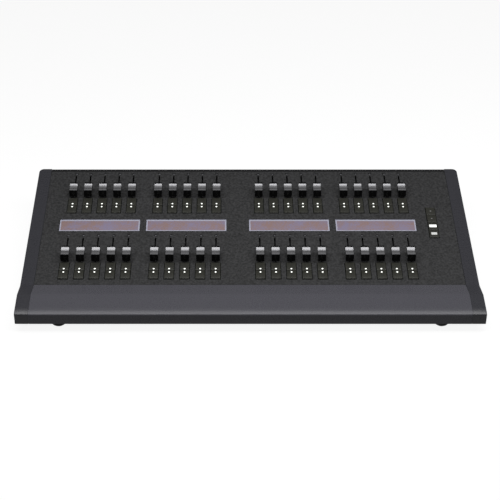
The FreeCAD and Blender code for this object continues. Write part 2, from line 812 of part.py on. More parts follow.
def bump_keys(label, unit, place):
    """The upper (place +1) or lower (-1) keys of all forty pairs."""
    copies = []
    for number, bank, column, row in every_fader():
        along = key_along(place, row)
        copies.append(copy_at(unit, "%s_%02d" % (label, number), column_x(bank, column), along))
    return tilt(group(label, copies))


def page_key_along(number):
    """Where a page key stands; number 1 is the rearmost."""
    return "(page_keys_along + (2.5 - %d) * %s)" % (number, KEY_PITCH)


def page_keys():
    nodes = []
    for number in range(1, 5):
        key = key_cap("page_key_%d" % number)
        nodes.append(tilt(key, "page_keys_across", page_key_along(number)))
    return nodes


# ---------------------------------------------------------------- inside

def key_switches():
    """A push switch under every key, standing on the boards."""
    height = "(board_depth + %s)" % PLUNGER_TOP
    case = centred_box(
        "switch_case", "0", "0", BOARD_TOP, "switch_size", "switch_size", "switch_height")
    plunger = cylinder("switch_plunger", "0", "0", BOARD_TOP, "plunger_dia", height)
    unit = fuse("switch_unit", case, plunger)
    copies = []
    for number, bank, column, row in every_fader():
        for place in (-1, 1):
            along = key_along(place, row)
            copies.append(copy_at(
                unit, "switch_%02d_%d" % (number, place > 0), column_x(bank, column), along))
    for number in range(1, 5):
        copies.append(copy_at(
            unit, "page_switch_%d" % number, "page_keys_across", page_key_along(number)))
    return tilt(group("key_switches", copies))


def control_boards():
    """One board behind each bank, one under the page keys and one for the rear sockets."""
    boards = []
    low = "(%s - board_thick)" % BOARD_TOP
    width = "(bank_pitch - board_gap)"
    length = "(%s - board_start - board_end)" % PLATE_LENGTH
    for bank in BANKS:
        boards.append(box(
            "bank_board_%d" % bank, "(%s - %s / 2)" % (bank_middle(bank), width), "board_start",
            low, width, length, "board_thick"))
    boards.append(box(
        "page_board", "(page_keys_across - page_board_width / 2)", "board_start",
        low, "page_board_width", length, "board_thick"))
    sloped = tilt(group("sloped_boards", boards))
    first = SOCKETS[0][1]
    last = SOCKETS[-1][1]
    margin = "socket_depth"
    flat = box(
        "socket_board", "(%s - %s)" % (first, margin),
        "(%s - rear_wall - pan_wall - fit_gap - 2 * socket_depth)" % REAR_FACE,
        "(%s - board_thick)" % SOCKET_FLOOR, "(%s - (%s) + 2 * %s)" % (last, first, margin),
        "(2 * socket_depth)", "board_thick")
    return group("control_boards", [sloped, flat])


# sockets on the rear panel, from left to right: kind and X
SOCKETS = (
    ("host", "socket_across"),
    ("host", "(socket_across + host_pitch)"),
    ("device", "(socket_across + host_pitch + device_pitch)"),
    ("power", "(socket_across + host_pitch + device_pitch + power_pitch)"),
)
SOCKET_FACES = {
    "host": ("host_width", "host_height"),
    "device": ("device_width", "device_height"),
    "power": ("power_width", "power_height"),
}
TONGUES = {
    "host": ("host_tongue", "host_tongue_thick"),
    "device": ("device_tongue", "device_tongue_thick"),
}
SOCKET_FLOOR = "(foot_height + pan_wall + socket_height)"
SOCKET_MOUTH = "(" + REAR_FACE + " - socket_fit)"
SOCKET_END = "(" + SOCKET_MOUTH + " - socket_depth)"


def socket(number, kind, across):
    """A socket's shell with its cavity, and the tongue or pin inside."""
    width, height = SOCKET_FACES[kind]
    name = "socket_%d" % number
    shell = box(name + "_shell", "(%s - %s / 2)" % (across, width), SOCKET_END, SOCKET_FLOOR,
                width, "socket_depth", height)
    if kind == "power":
        return round_socket(name, shell, across, height)
    cavity = box(
        name + "_cavity", "(%s - %s / 2 + socket_wall)" % (across, width),
        "(%s + socket_back)" % SOCKET_END, "(%s + socket_wall)" % SOCKET_FLOOR,
        "(%s - 2 * socket_wall)" % width, "socket_depth", "(%s - 2 * socket_wall)" % height)
    tongue_width, thickness = TONGUES[kind]
    tongue = box(
        name + "_tongue", "(%s - %s / 2)" % (across, tongue_width),
        "(%s + tongue_base)" % SOCKET_END, "(%s + (%s - %s) / 2)" % (SOCKET_FLOOR, height, thickness),
        tongue_width, "tongue_length", thickness)
    return fuse(name, cut(name + "_cup", shell, cavity), tongue)


def round_socket(name, shell, across, height):
    """The power inlet: a round bore with a pin on its axis."""
    middle = "(%s + %s / 2)" % (SOCKET_FLOOR, height)
    bore = cylinder(name + "_bore", across, SOCKET_MOUTH, middle, "power_bore",
                    "(socket_depth - socket_back)")
    pin = cylinder(name + "_pin", across, "(%s - pin_sink)" % SOCKET_MOUTH, middle, "power_pin",
                   "(socket_depth - pin_sink - tongue_base)")
    for round_piece in (bore, pin):
        round_piece.Placement = FreeCAD.Placement(
            round_piece.Placement.Base, FreeCAD.Rotation(FreeCAD.Vector(1, 0, 0), 90))
    return fuse(name, cut(name + "_cup", shell, bore), pin)


def rear_connectors():
    sockets = [socket(number, kind, across) for number, (kind, across) in enumerate(SOCKETS)]
    return group("rear_connectors", sockets)


# ---------------------------------------------------------------- feet and screws

def foot():
    """Rubber foot turned about its axis, with a bore and a seat for its screw."""
    body = new_body("foot_unit")
    outline = new_sketch(body, "XZ_Plane")
    add_outline(outline, [
        ("(foot_bore / 2)", "foot_sink"),
        ("(screw_head / 2 + foot_seat_gap)", "foot_sink"),
        ("(screw_head / 2 + foot_seat_gap)", "0"),
        ("(foot_dia / 2 - foot_taper)", "0"),
        ("(foot_dia / 2)", "foot_height"),
        ("(foot_bore / 2)", "foot_height")])
    turned = body.newObject("PartDesign::Revolution", "foot_turned")
    turned.Profile = outline
    turned.ReferenceAxis = (outline, ["V_Axis"])
    turned.Angle = 360
    DOC.recompute()
    rim = value("foot_dia / 2 - foot_taper")
    round_edges(body, "foot_round", lambda edge: (
        edge.BoundBox.ZMax < TOUCH and edge.BoundBox.XMax > rim - TOUCH))
    return body


def foot_places():
    for side in (-1, 1):
        for end in (-1, 1):
            yield "(%d * foot_across)" % side, "(%d * (%s - foot_inset))" % (end, REAR)


def feet():
    unit = foot()
    copies = [copy_at(unit, "foot_%d" % number, x, y)
              for number, (x, y) in enumerate(foot_places(), start=1)]
    return group("feet", copies)


def screw(name, length):
    """A pan-head screw standing on the seat at Z 0, its shank pointing down."""
    head = cylinder(name + "_head", "0", "0", "0", "screw_head", "(screw_dia / 2)")
    shank = cylinder(name + "_shank", "0", "0", "(-%s)" % length, "screw_dia", length)
    return fuse(name, head, shank)


def screws():
    """Two screws on each fader, one through each foot and a row along the rear panel."""
    short = screw("fader_screw", "screw_length")
    on_panel = []
    for number, bank, column, row in every_fader():
        for end, along in enumerate(fixing_places()):
            on_panel.append(copy_at(
                short, "fader_screw_%02d_%d" % (number, end), column_x(bank, column),
                "(%s + %d * %s)" % (along, row, ROW_PITCH)))
    panel_set = tilt(group("fader_screws", on_panel))
    long = screw("foot_screw", "(foot_height - foot_sink + pan_wall + screw_dia)")
    turned = group("foot_screw_up", [long])
    turned.Placement = FreeCAD.Placement(
        FreeCAD.Vector(0, 0, 0), FreeCAD.Rotation(FreeCAD.Vector(1, 0, 0), 180))
    in_feet = [copy_at(turned, "foot_screw_%d" % number, x, y, "foot_sink")
               for number, (x, y) in enumerate(foot_places(), start=1)]
    on_rear = []
    for number, across in enumerate(rear_screw_places(), start=1):
        rear_screw = group("rear_screw_%d" % number, [short])
        rear_screw.Placement = FreeCAD.Placement(
            FreeCAD.Vector(0, 0, 0), FreeCAD.Rotation(FreeCAD.Vector(1, 0, 0), -90))
        bind(rear_screw, Placement__Base__x=across, Placement__Base__y=REAR_FACE,
             Placement__Base__z="(foot_height + rear_screw_height)")
        on_rear.append(rear_screw)
    return group("screws", [panel_set] + in_feet + on_rear)


# ---------------------------------------------------------------- build and write

def build():
    bump_key = key_cap("bump_key")
    nodes = [
        base_pan(), palm_rest(), cheek("left_end_cheek", -1), cheek("right_end_cheek", 1),
        rear_panel(), faceplate(), display_windows(), display_modules(), fader_bodies(),
        control_boards(), key_switches(), rear_connectors(), feet(), screws(),
        bump_keys("bump_keys_upper", bump_key, 1), bump_keys("bump_keys_lower", bump_key, -1)]
    nodes += faders()
    nodes += page_keys()
    return nodes


def check_all():
    for obj in DOC.Objects:
        if "Invalid" in obj.State or "Error" in obj.State:
            raise RuntimeError("%s is %s" % (obj.Label, obj.State))


def write(nodes):
    os.makedirs("parts", exist_ok=True)
    for node in nodes:
        if node.Shape.isNull() or not node.Shape.isValid():
            raise RuntimeError("%s has no valid shape" % node.Label)
    for node in nodes:
        node.Shape.exportStep("parts/%s.step" % node.Label)


NODES = build()
DOC.recompute()
check_all()
write(NODES)
print(len(NODES), "nodes,", sum(len(node.Shape.Solids) for node in NODES), "solids")
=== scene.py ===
import json
import math

import bmesh
import bpy
from bpy.props import FloatProperty, FloatVectorProperty, PointerProperty
from bpy.types import Operator, Panel, PropertyGroup
from mathutils import Matrix, Vector


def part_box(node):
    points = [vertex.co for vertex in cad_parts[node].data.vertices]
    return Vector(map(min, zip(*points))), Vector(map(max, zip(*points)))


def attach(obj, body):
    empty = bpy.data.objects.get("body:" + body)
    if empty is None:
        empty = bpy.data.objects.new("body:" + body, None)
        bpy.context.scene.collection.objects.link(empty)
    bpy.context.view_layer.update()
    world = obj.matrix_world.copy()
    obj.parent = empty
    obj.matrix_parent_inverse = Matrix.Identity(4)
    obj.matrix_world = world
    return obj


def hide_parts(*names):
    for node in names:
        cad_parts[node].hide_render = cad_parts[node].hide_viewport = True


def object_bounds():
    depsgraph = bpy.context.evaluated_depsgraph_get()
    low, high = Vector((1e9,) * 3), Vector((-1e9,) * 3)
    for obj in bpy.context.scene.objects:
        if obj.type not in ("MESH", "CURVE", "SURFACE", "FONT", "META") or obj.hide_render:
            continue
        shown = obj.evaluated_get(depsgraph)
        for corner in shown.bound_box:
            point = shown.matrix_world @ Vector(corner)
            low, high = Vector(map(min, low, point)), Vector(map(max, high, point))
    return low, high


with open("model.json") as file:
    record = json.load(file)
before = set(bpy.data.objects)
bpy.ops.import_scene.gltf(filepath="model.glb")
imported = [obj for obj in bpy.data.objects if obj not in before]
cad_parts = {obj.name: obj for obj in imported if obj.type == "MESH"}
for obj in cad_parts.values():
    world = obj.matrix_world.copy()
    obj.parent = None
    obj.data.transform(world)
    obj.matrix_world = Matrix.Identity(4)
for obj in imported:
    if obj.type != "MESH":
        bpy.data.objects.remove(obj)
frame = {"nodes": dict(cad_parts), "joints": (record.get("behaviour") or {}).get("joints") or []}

bl_info = {
    "name": "Lighting Fader Desk",
    "version": (1, 0, 0),
    "blender": (4, 5, 0),
    "location": "3D Viewport > Sidebar > Fader Desk",
    "description": "Finishes and detailed pieces of a wide lighting fader desk",
    "category": "Object",
}

CAD_BOX = [list(corner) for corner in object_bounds()]
NODES = frame["nodes"]

# The sloping surface: "along" runs up it from the faceplate's front edge, "out" stands off it.
SLIDE = [joint for joint in frame["joints"] if joint["child"] == "fader_01"][0]["axis"]
TILT = math.atan2(SLIDE[2], SLIDE[1])
PANEL_THICK = 0.002
PLATE_LOW, PLATE_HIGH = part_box("faceplate")
SEAM = Vector((0, PLATE_LOW.y, PLATE_LOW.z + PANEL_THICK * math.cos(TILT)))
SLOPE = Matrix.Translation(SEAM) @ Matrix.Rotation(TILT, 4, "X")

FADERS = sorted(name for name in NODES if name.startswith("fader_") and name != "fader_bodies")
PAGE_KEYS = sorted(name for name in NODES if name.startswith("page_key"))
FADERS_PER_BANK = 5
CAP_STEPS = 16
CAP_WALL = 0.0012
CAP_ROOF = 0.0018          # thickness of the skirt under the saddle
SADDLE_FIT = 0.0001        # insert to the skirt
HOUSING_DEPTH = 0.0064     # plate's underside to the floor of a fader's housing
CARRIAGE = (0.006, 0.009, 0.004)
CARRIAGE_LIFT = 0.0002     # carriage over the housing's floor
LEVER = (0.0012, 0.004)
LEVER_LIFT = 0.001         # lever's end, inside the carriage, over the housing's floor
KEY_SKIRT = 0.0025         # key below the plate's face
KEY_STEM = (0.005, 0.005, 0.003)
LAMP_RISE = 0.00028
WINDOW_LENGTH = 0.028
WINDOW_LIP = 0.003
WINDOW_SINK = 0.0003
SLOT_LENGTH = 0.050
FADER_REST = 0.0025        # lever's middle from its slot's front end
SCREW_OVERHANG = 0.0052    # fader screw beyond the slot's end
REAR_SCREW_PITCH = 0.120
REAR_SCREW_HEIGHT = 0.007  # over the rear panel's lower edge
FOOT_RADIUS = 0.0135
FOOT_SEAT = 0.006          # screw head's seat above the floor
SMOOTH_ANGLE = math.radians(38)
SOFTBOX_PLACE = (0.16, -0.15, 1.0)
SOFTBOX_SIZE = (2.3, 0.55)
FLOOR_GLOW = 0.9           # the floor's own light as the camera sees it
GLOSS_SHARE = 0.3          # how much of that glow the gloss mirrors


# ------------------------------------------------------------------ settings

class FaderDeskSizes(PropertyGroup):
    """Sizes of the desk's own pieces."""
    cap_width: FloatProperty(
        name="Cap Width", description="Fader cap across the desk", default=0.0128,
        unit="LENGTH", subtype="DISTANCE")
    cap_foot: FloatProperty(
        name="Cap Foot", description="Fader cap's length at its lower edge", default=0.024,
        unit="LENGTH", subtype="DISTANCE")
    cap_crown: FloatProperty(
        name="Cap Crown", description="Fader cap's length over its ridges", default=0.0214,
        unit="LENGTH", subtype="DISTANCE")
    cap_lift: FloatProperty(
        name="Cap Lift", description="Cap's lower edge above the plate", default=0.0035,
        unit="LENGTH", subtype="DISTANCE")
    cap_top: FloatProperty(
        name="Cap Top", description="Cap's ridges above the plate", default=0.0156,
        unit="LENGTH", subtype="DISTANCE")
    cap_dip: FloatProperty(
        name="Cap Dip", description="Depth of the cap's saddle", default=0.0034,
        unit="LENGTH", subtype="DISTANCE")
    cap_rim: FloatProperty(
        name="Cap Rim", description="Black rim at each end of the grey insert",
        default=0.0009, unit="LENGTH", subtype="DISTANCE")
    insert_thick: FloatProperty(
        name="Insert Thickness", description="Thickness of the grey saddle insert",
        default=0.0016, unit="LENGTH", subtype="DISTANCE")
    key_width: FloatProperty(
        name="Key Width", description="A key across the desk", default=0.015,
        unit="LENGTH", subtype="DISTANCE")
    key_length: FloatProperty(
        name="Key Length", description="A key along the slope", default=0.018,
        unit="LENGTH", subtype="DISTANCE")
    key_proud: FloatProperty(
        name="Key Height", description="A key's top above the plate", default=0.002,
        unit="LENGTH", subtype="DISTANCE")
    key_pitch: FloatProperty(
        name="Key Pitch", description="Distance between the two keys of a pair",
        default=0.0186, unit="LENGTH", subtype="DISTANCE")
    key_setback: FloatProperty(
        name="Key Setback", description="Fader at rest to the middle of its key pair",
        default=0.0314, unit="LENGTH", subtype="DISTANCE")
    lamp_from_seam: FloatProperty(
        name="Lamp From Seam", description="Key lamp to the seam between two keys",
        default=0.0038, unit="LENGTH", subtype="DISTANCE")
    lamp_size: FloatProperty(
        name="Lamp Size", description="Diameter of a key's lamp", default=0.0027,
        unit="LENGTH", subtype="DISTANCE")
    # The screens' pale borders are the windows' frames, their paleness a painted sheen of the window
    # edges, widest along the rear.
    screen_side: FloatProperty(
        name="Screen Side Border", description="Pale border at the screen's two ends",
        default=0.0022, unit="LENGTH", subtype="DISTANCE")
    screen_rear: FloatProperty(
        name="Screen Rear Border", description="Pale border along the screen's rear edge",
        default=0.0036, unit="LENGTH", subtype="DISTANCE")
    screen_front: FloatProperty(
        name="Screen Front Border", description="Pale border along the screen's front edge",
        default=0.0015, unit="LENGTH", subtype="DISTANCE")


class FaderDeskColours(PropertyGroup):
    """Main colours of the desk, as linear values."""
    plate: FloatVectorProperty(
        name="Faceplate", description="Textured paint of the faceplate",
        default=(0.031, 0.031, 0.032), subtype="COLOR", size=3, min=0, max=1)
    rest: FloatVectorProperty(
        name="Palm Rest", description="Paint of the palm rest",
        default=(0.088, 0.087, 0.101), subtype="COLOR", size=3, min=0, max=1)
    cheek: FloatVectorProperty(
        name="End Cheeks", description="Paint of the end cheeks",
        default=(0.040, 0.040, 0.047), subtype="COLOR", size=3, min=0, max=1)
    insert: FloatVectorProperty(
        name="Fader Insert", description="Grey insert of the fader caps",
        default=(0.26, 0.26, 0.27), subtype="COLOR", size=3, min=0, max=1)
    key: FloatVectorProperty(
        name="Keys", description="Smoked plastic of the keys",
        default=(0.030, 0.030, 0.024), subtype="COLOR", size=3, min=0, max=1)
    screen: FloatVectorProperty(
        name="Screens", description="Unlit screens behind their windows",
        default=(0.285, 0.225, 0.24), subtype="COLOR", size=3, min=0, max=1)


class FaderDeskStage(PropertyGroup):
    """Camera and lamps."""
    lens: FloatProperty(
        name="Lens", description="Focal length", default=96.5, unit="CAMERA")
    distance: FloatProperty(
        name="Distance", description="Camera to the point it looks at", default=2.131,
        unit="LENGTH", subtype="DISTANCE")
    elevation: FloatProperty(
        name="Elevation", description="Camera's height angle", default=math.radians(34),
        subtype="ANGLE")
    aside: FloatProperty(
        name="Aside", description="Camera to the left of the desk's middle", default=0.030,
        unit="LENGTH", subtype="DISTANCE")
    sideways: FloatProperty(
        name="Sideways", description="Middle of the view to the right of the camera",
        default=0.0311, unit="LENGTH", subtype="DISTANCE")
    look_along: FloatProperty(
        name="Look Along", description="Looked-at point, up the slope from the seam",
        default=0.0804, unit="LENGTH", subtype="DISTANCE")
    softbox_watts: FloatProperty(
        name="Softbox", description="Power of the overhead softbox", default=14.2, min=0)
    world_level: FloatProperty(
        name="World", description="Brightness of the surroundings", default=0.08, min=0)


def sizes():
    return bpy.context.scene.fader_desk_sizes


def colours():
    return bpy.context.scene.fader_desk_colours


# ------------------------------------------------------------------ shader groups

def new_group(name, inputs, outputs):
    """An empty shader node group with its sockets; returns it with its two end nodes."""
    group = bpy.data.node_groups.new(name, "ShaderNodeTree")
    for label, default in inputs:
        socket = group.interface.new_socket(label, in_out="INPUT", socket_type="NodeSocketFloat")
        socket.default_value = default
    for label, kind in outputs:
        group.interface.new_socket(label, in_out="OUTPUT", socket_type=kind)
    return group, group.nodes.new("NodeGroupInput"), group.nodes.new("NodeGroupOutput")


def math_node(tree, operation, first, second, clamp=False):
    """A sum of two sockets or plain numbers; returns its output."""
    node = tree.nodes.new("ShaderNodeMath")
    node.operation = operation
    node.use_clamp = clamp
    for index, item in enumerate((first, second)):
        if isinstance(item, (int, float)):
            node.inputs[index].default_value = item
        else:
            tree.links.new(item, node.inputs[index])
    return node.outputs[0]


def grain_group():
    """Fine paint or moulding grain: a tone from 0 to 1 and a height."""
    group, start, end = new_group(
        "Surface Grain", (("Coarse", 300.0), ("Fine", 1400.0), ("Contrast", 1.0)),
        (("Tone", "NodeSocketFloat"), ("Height", "NodeSocketFloat")))
    place = group.nodes.new("ShaderNodeTexCoord")
    coarse = group.nodes.new("ShaderNodeTexNoise")
    coarse.inputs["Detail"].default_value = 3.0
    fine = group.nodes.new("ShaderNodeTexNoise")
    fine.inputs["Detail"].default_value = 2.0
    speck = group.nodes.new("ShaderNodeTexVoronoi")
    for node, label in ((coarse, "Coarse"), (fine, "Fine"), (speck, "Fine")):
        group.links.new(place.outputs["Object"], node.inputs["Vector"])
        group.links.new(start.outputs[label], node.inputs["Scale"])
    mixed = math_node(group, "ADD", math_node(group, "MULTIPLY", coarse.outputs[0], 0.55),
                      math_node(group, "MULTIPLY", fine.outputs[0], 0.45))
    spread = math_node(group, "MULTIPLY", math_node(group, "SUBTRACT", mixed, 0.5), 3.2)
    strength = math_node(group, "MULTIPLY", spread, start.outputs["Contrast"])
    tone = math_node(group, "ADD", strength, 0.5, clamp=True)
    height = math_node(group, "ADD", math_node(group, "MULTIPLY", fine.outputs[0], 0.6),
                       math_node(group, "MULTIPLY", speck.outputs["Distance"], 0.4))
    group.links.new(tone, end.inputs["Tone"])
    group.links.new(height, end.inputs["Height"])
    return group


def edge_wear_and_highlight_group():
    """A mask that rises along rounded edges, from a bevelled normal: it marks rubbed paint and a
    painted highlight, and painted shade where a finish darkens its edges.
    """
    group, start, end = new_group(
        "Edge Wear And Highlight", (("Radius", 0.0006), ("Breakup", 250.0)), (("Mask", "NodeSocketFloat"),))
    bevel = group.nodes.new("ShaderNodeBevel")
    bevel.samples = 4
    group.links.new(start.outputs["Radius"], bevel.inputs["Radius"])
    plain = group.nodes.new("ShaderNodeNewGeometry")
    dot = group.nodes.new("ShaderNodeVectorMath")
    dot.operation = "DOT_PRODUCT"
    group.links.new(bevel.outputs["Normal"], dot.inputs[0])
    group.links.new(plain.outputs["Normal"], dot.inputs[1])
    turned = math_node(group, "SUBTRACT", 1.0, dot.outputs["Value"])
    raised = math_node(group, "MULTIPLY", turned, 6.0, clamp=True)
    place = group.nodes.new("ShaderNodeTexCoord")
    breakup = group.nodes.new("ShaderNodeTexNoise")
    group.links.new(place.outputs["Object"], breakup.inputs["Vector"])
    group.links.new(start.outputs["Breakup"], breakup.inputs["Scale"])
    mask = math_node(group, "MULTIPLY", raised, breakup.outputs[0])
    group.links.new(mask, end.inputs["Mask"])
    return group


def handling_group():
    """Broad, faint patches where hands and cloths have passed."""
    group, start, end = new_group(
        "Handling", (("Size", 9.0), ("Amount", 0.5)), (("Mask", "NodeSocketFloat"),))
    place = group.nodes.new("ShaderNodeTexCoord")
    broad = group.nodes.new("ShaderNodeTexNoise")
    broad.inputs["Detail"].default_value = 5.0
    broad.inputs["Roughness"].default_value = 0.6
    group.links.new(place.outputs["Object"], broad.inputs["Vector"])
    group.links.new(start.outputs["Size"], broad.inputs["Scale"])
    shaped = math_node(group, "MULTIPLY", math_node(group, "SUBTRACT", broad.outputs[0], 0.35),
                       start.outputs["Amount"], clamp=True)
    group.links.new(shaped, end.inputs["Mask"])
    return group


GROUPS = {}


def shared(name):
    """The node group of that name, made once."""
    makers = {"grain": grain_group, "edge": edge_wear_and_highlight_group, "handling": handling_group}
    if name not in GROUPS:
        GROUPS[name] = makers[name]()
    return GROUPS[name]


# ------------------------------------------------------------------ materials

MATERIALS = {}


def blank_material(name):
    """A new material with its node tree and its main shader."""
    material = bpy.data.materials.new(name)
    material.use_nodes = True
    tree = material.node_tree
    return material, tree, tree.nodes["Principled BSDF"]


def use_group(tree, name, **values):
    """Put a shared group into a tree, with some of its values set."""
    node = tree.nodes.new("ShaderNodeGroup")
    node.node_tree = shared(name)
    for label, number in values.items():
        node.inputs[label].default_value = number
    return node


def mix_colour(tree, factor, first, second):
    """Mix two colours, each a plain colour or a socket."""
    node = tree.nodes.new("ShaderNodeMix")
    node.data_type = "RGBA"
    tree.links.new(factor, node.inputs["Factor"])
    for socket, item in ((node.inputs[6], first), (node.inputs[7], second)):
        if isinstance(item, bpy.types.NodeSocket):
            tree.links.new(item, socket)
        else:
            socket.default_value = (*item, 1.0)
    return node.outputs[2]


def scaled(colour, factor):
    """A colour made darker or paler."""
    return tuple(min(1.0, channel * factor) for channel in colour)


def finish(name, colour, rough, spread=0.25, coarse=300.0, fine=1400.0, bump=0.15,
           metal=0.0, edge=1.6, edge_radius=0.0006, coat=0.0, specular=0.5, contrast=1.0):
    """A painted, moulded or metal surface: grain, handling marks and edges recoloured by the edge
    factor, paler as rubbed paint with a painted highlight, darker as painted shade.
    """
    material, tree, shader = blank_material(name)
    grain = use_group(tree, "grain", Coarse=coarse, Fine=fine, Contrast=contrast)
    wear_and_highlight = use_group(tree, "edge", Radius=edge_radius)
    hands = use_group(tree, "handling")
    base = mix_colour(tree, grain.outputs["Tone"], scaled(colour, 1 - spread),
                      scaled(colour, 1 + spread))
    # edge above 1 paints the edges paler: rubbed paint and a painted highlight; below 1 it paints
    # them darker: painted shade.
    rubbed_and_highlit = mix_colour(tree, wear_and_highlight.outputs["Mask"], base, scaled(colour, edge))
    tree.links.new(rubbed_and_highlit, shader.inputs["Base Color"])
    smear = math_node(tree, "MULTIPLY", hands.outputs["Mask"], 0.25)
    tooth = math_node(tree, "MULTIPLY", grain.outputs["Tone"], 0.08)
    roughness = math_node(tree, "ADD", math_node(tree, "SUBTRACT", tooth, smear), rough,
                          clamp=True)
    tree.links.new(roughness, shader.inputs["Roughness"])
    relief = tree.nodes.new("ShaderNodeBump")
    relief.inputs["Strength"].default_value = bump
    relief.inputs["Distance"].default_value = 0.0002
    tree.links.new(grain.outputs["Height"], relief.inputs["Height"])
    tree.links.new(relief.outputs["Normal"], shader.inputs["Normal"])
    shader.inputs["Metallic"].default_value = metal
    shader.inputs["Coat Weight"].default_value = coat
    shader.inputs["Specular IOR Level"].default_value = specular
    return material


def plate_paint():
    return finish("plate_paint", colours().plate, 0.66, spread=0.6, coarse=300, fine=1300,
                  bump=0.5, edge=1.6, contrast=1.4, specular=0.35)


def rest_paint():
    return finish("rest_paint", colours().rest, 0.26, spread=0.06, coarse=700, fine=3000,
                  bump=0.06, edge=1.0, specular=0.42)


def cheek_paint():
    return finish("cheek_paint", colours().cheek, 0.28, spread=0.16, coarse=500, fine=2200,
                  bump=0.2, edge=1.2, specular=0.6)


def pan_paint():
    return finish("pan_paint", (0.018, 0.018, 0.020), 0.5, spread=0.2, bump=0.2)


def rear_paint():
    return finish("rear_paint", (0.008, 0.008, 0.009), 0.5, spread=0.2, bump=0.2)


def cap_black():
    return finish("cap_black", (0.0025, 0.0025, 0.003), 0.34, spread=0.1, coarse=900, fine=4000,
                  bump=0.05, edge=3.0, edge_radius=0.0003, specular=0.25)


def cap_grey():
    return finish("cap_grey", colours().insert, 0.26, spread=0.05, coarse=900, fine=4000,
                  bump=0.04, metal=0.5, edge=1.3, edge_radius=0.0003)


def cap_groove_shade():
    # Near-black strip along the saddle's lowest line: painted shade of a centre groove.
    return finish("cap_groove_shade", (0.012, 0.012, 0.013), 0.45, spread=0.05, bump=0.03)


def lever_steel():
    return finish("lever_steel", (0.32, 0.32, 0.33), 0.3, spread=0.12, coarse=200, fine=5000,
                  bump=0.08, metal=1.0)


def key_plastic():
    # edge 0.25 paints the keys' rounded edges darker: painted shade of the gaps round each key.
    return finish("key_plastic", colours().key, 0.38, spread=0.28, coarse=420, fine=2600,
                  bump=0.10, edge=0.25, edge_radius=0.0007, coat=0.1)


def foot_rubber():
    return finish("foot_rubber", (0.006, 0.006, 0.006), 0.7, spread=0.3, coarse=300, fine=1200,
                  bump=0.35)


def screw_black():
    return finish("screw_black", (0.07, 0.07, 0.075), 0.28, spread=0.2, coarse=900, fine=4000,
                  bump=0.1, metal=0.9)


def inner_black_and_recess_shade():
    # Black inner parts, and the screws' dark crosses, which are painted shade of their recesses.
    return finish("inner_black_and_recess_shade", (0.006, 0.006, 0.006), 0.6, spread=0.2)


def board_green():
    return finish("board_green", (0.010, 0.030, 0.014), 0.45, spread=0.2, coarse=200, fine=900)


def socket_metal():
    return finish("socket_metal", (0.42, 0.42, 0.43), 0.32, spread=0.12, coarse=300, fine=4000,
                  bump=0.06, metal=1.0)


def glowing(name, colour, strength, base=(0.5, 0.5, 0.48)):
    """A lamp or light pipe, brightest in its middle grain."""
    material, tree, shader = blank_material(name)
    grain = use_group(tree, "grain", Coarse=900.0, Fine=3000.0, Contrast=0.6)
    lit = mix_colour(tree, grain.outputs["Tone"], scaled(colour, 0.85), colour)
    tree.links.new(lit, shader.inputs["Emission Color"])
    shader.inputs["Emission Strength"].default_value = strength
    shader.inputs["Base Color"].default_value = (*base, 1.0)
    shader.inputs["Roughness"].default_value = 0.35
    return material


def key_lamp():
    return glowing("key_lamp", (0.97, 1.0, 0.93), 1.5)


def bar_lit():
    return glowing("bar_lit", (0.97, 1.0, 0.98), 1.0)


def bar_dim():
    return glowing("bar_dim", (0.95, 0.97, 0.93), 0.5, base=(0.3, 0.3, 0.3))


def mark_dim():
    return glowing("mark_dim", (0.9, 0.9, 0.85), 0.07, base=(0.12, 0.12, 0.12))


def screen_face():
    """Unlit screen glass: a warm grey film with faint cloudy colour."""
    material, tree, shader = blank_material("screen_face")
    film = colours().screen
    cloud = use_group(tree, "grain", Coarse=42.0, Fine=420.0, Contrast=1.5)
    tint = mix_colour(tree, cloud.outputs["Tone"], (film[0] * 1.08, film[1] * 0.94, film[2] * 0.84),
                      (film[0] * 0.96, film[1] * 1.06, film[2] * 1.42))
    tree.links.new(tint, shader.inputs["Base Color"])
    hands = use_group(tree, "handling")
    rough = math_node(tree, "ADD", math_node(tree, "MULTIPLY", hands.outputs["Mask"], 0.15), 0.22)
    tree.links.new(rough, shader.inputs["Roughness"])
    return material


def screen_sheen_border():
    # Pale bluish frame colour of the screen windows: painted sheen.
    return finish("screen_sheen_border", (0.45, 0.45, 0.55), 0.35, spread=0.06, bump=0.03)


MAKERS = (
    plate_paint, rest_paint, cheek_paint, pan_paint, rear_paint, cap_black, cap_grey, cap_groove_shade,
    lever_steel, key_plastic, foot_rubber, screw_black, inner_black_and_recess_shade, board_green, socket_metal,
    key_lamp, bar_lit, bar_dim, mark_dim, screen_face, screen_sheen_border)


def paint(name):
    """The material of that name, made once."""
    if name not in MATERIALS:
        maker = [maker for maker in MAKERS if maker.__name__ == name][0]
        MATERIALS[name] = maker()
    return MATERIALS[name]


def dress(node, name):
    """Give a CAD node one material all over."""
    mesh = NODES[node].data
    mesh.materials.clear()
    mesh.materials.append(paint(name))


# ------------------------------------------------------------------ mesh tools

def close_mesh(name, bm, finishes):
    """Turn a bmesh into a smooth mesh with its finishes."""
    mesh = bpy.data.meshes.new(name)
    bmesh.ops.recalc_face_normals(bm, faces=bm.faces)
    bm.to_mesh(mesh)
    bm.free()
    mesh.shade_smooth()
    mesh.set_sharp_from_angle(angle=SMOOTH_ANGLE)
    for item in finishes:
        mesh.materials.append(paint(item))
    return mesh


def close_piece(name, bm, finishes, body, local=None):
    """Turn a bmesh into a piece that rides on a body."""
    return place_piece(name, close_mesh(name, bm, finishes), body, local)


def place_piece(name, mesh, body, local=None):
    """Hang a mesh on a body, with its place written into the mesh."""
    if local is not None:
        mesh.transform(local)
    piece = bpy.data.objects.new(name, mesh)
    bpy.context.scene.collection.objects.link(piece)
    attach(piece, body)
    return piece


